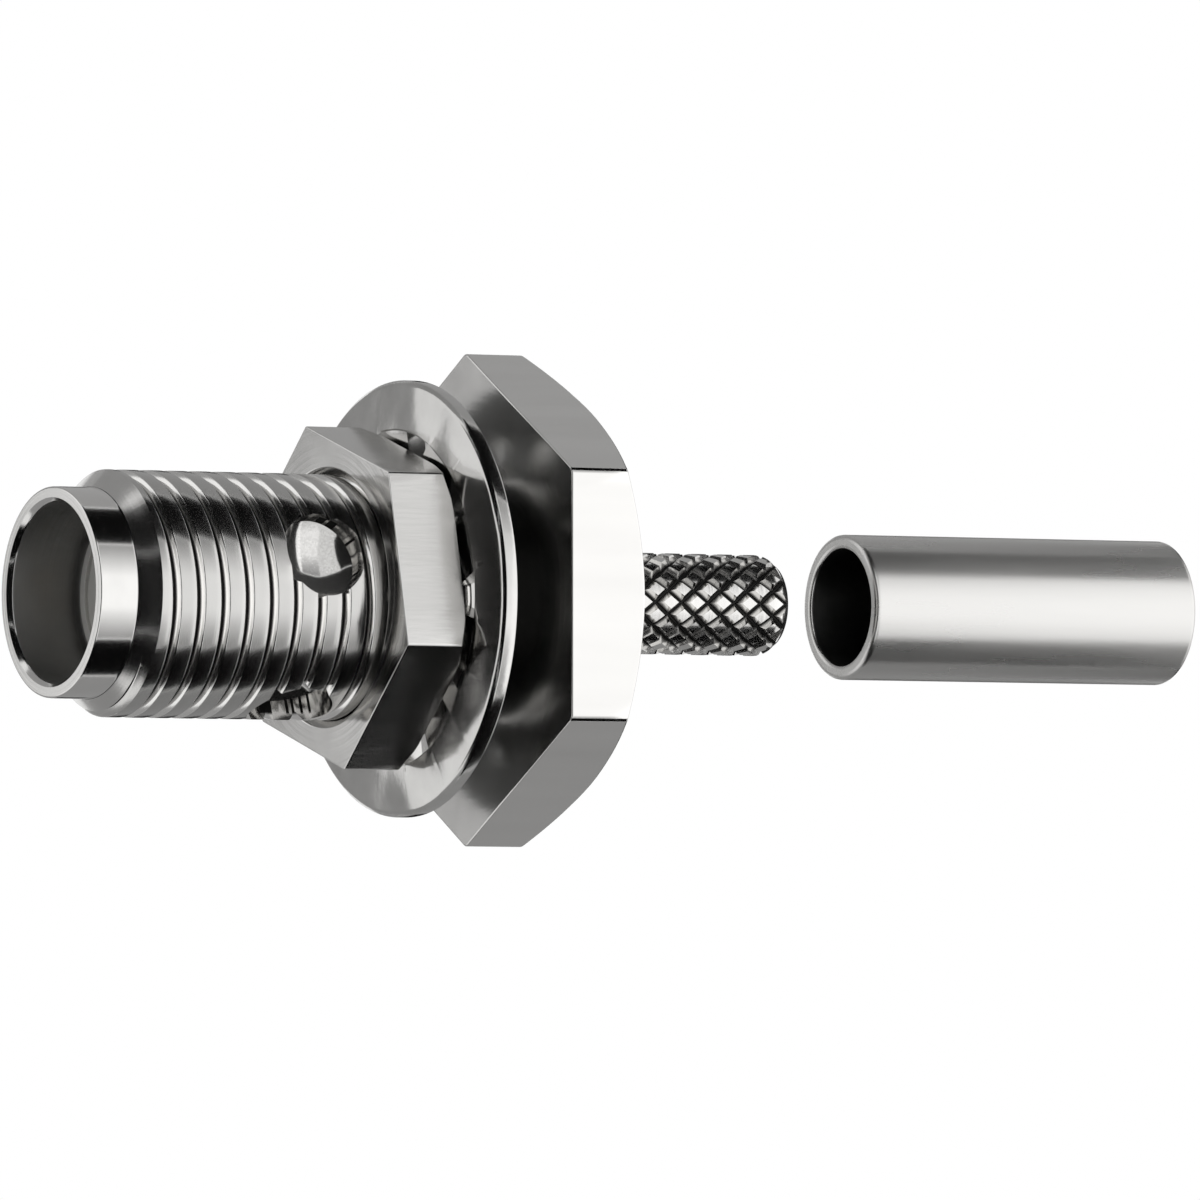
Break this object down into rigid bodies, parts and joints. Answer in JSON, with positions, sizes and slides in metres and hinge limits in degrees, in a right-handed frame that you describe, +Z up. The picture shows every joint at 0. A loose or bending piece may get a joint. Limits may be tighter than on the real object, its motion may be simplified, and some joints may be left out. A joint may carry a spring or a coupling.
{
  "type": "coaxial bulkhead jack connector",
  "caption": "Round threaded coaxial jack with a hexagonal flange, panel nut, toothed lock washer, knurled crimp stem and a loose crimp ferrule on the same axis.",
  "frame": {"origin": "on the connector's axis, in the face of the hexagon that seats on the panel", "axes": "-X points out of the mating mouth, +X towards the cable, +Z up with two corners of the hexagon along Z"},
  "size_m": [0.0334, 0.0112, 0.0128],
  "materials": {
    "plated_body": "bright nickel plate on turned brass",
    "insulator": "machined white fluoropolymer",
    "contact": "gold plate on turned copper alloy",
    "epoxy": "cured silver-filled epoxy, glossy",
    "plated_nut": "bright nickel plate on brass",
    "plated_washer": "bright nickel plate on stamped bronze",
    "plated_ferrule": "bright nickel plate on drawn copper tube"
  },
  "bodies": {
    "connector": {"jack_body": "plated_body", "front_insulator": "insulator", "centre_contact": "contact", "epoxy_lock": "epoxy"},
    "washer": {"lock_washer": "plated_washer"},
    "nut": {"hex_nut": "plated_nut"},
    "ferrule": {"crimp_ferrule": "plated_ferrule"}
  },
  "joints": [
    {"name": "nut_travel", "type": "slide", "parent": "connector", "child": "washer", "axis": [1, 0, 0], "range_m": [-0.00828, 0.00149]},
    {"name": "nut_spin", "type": "hinge", "parent": "washer", "child": "nut", "pos_m": [-0.00326, 0, 0], "axis": [1, 0, 0], "range_deg": [-4230, 762]},
    {"name": "ferrule_slide", "type": "slide", "parent": "connector", "child": "ferrule", "axis": [-1, 0, 0], "range_m": [0, 0.00885]}
  ],
  "couplings": [
    {"joint": "nut_spin", "follows": "nut_travel", "rad_per_m": 8905.3}
  ]
}
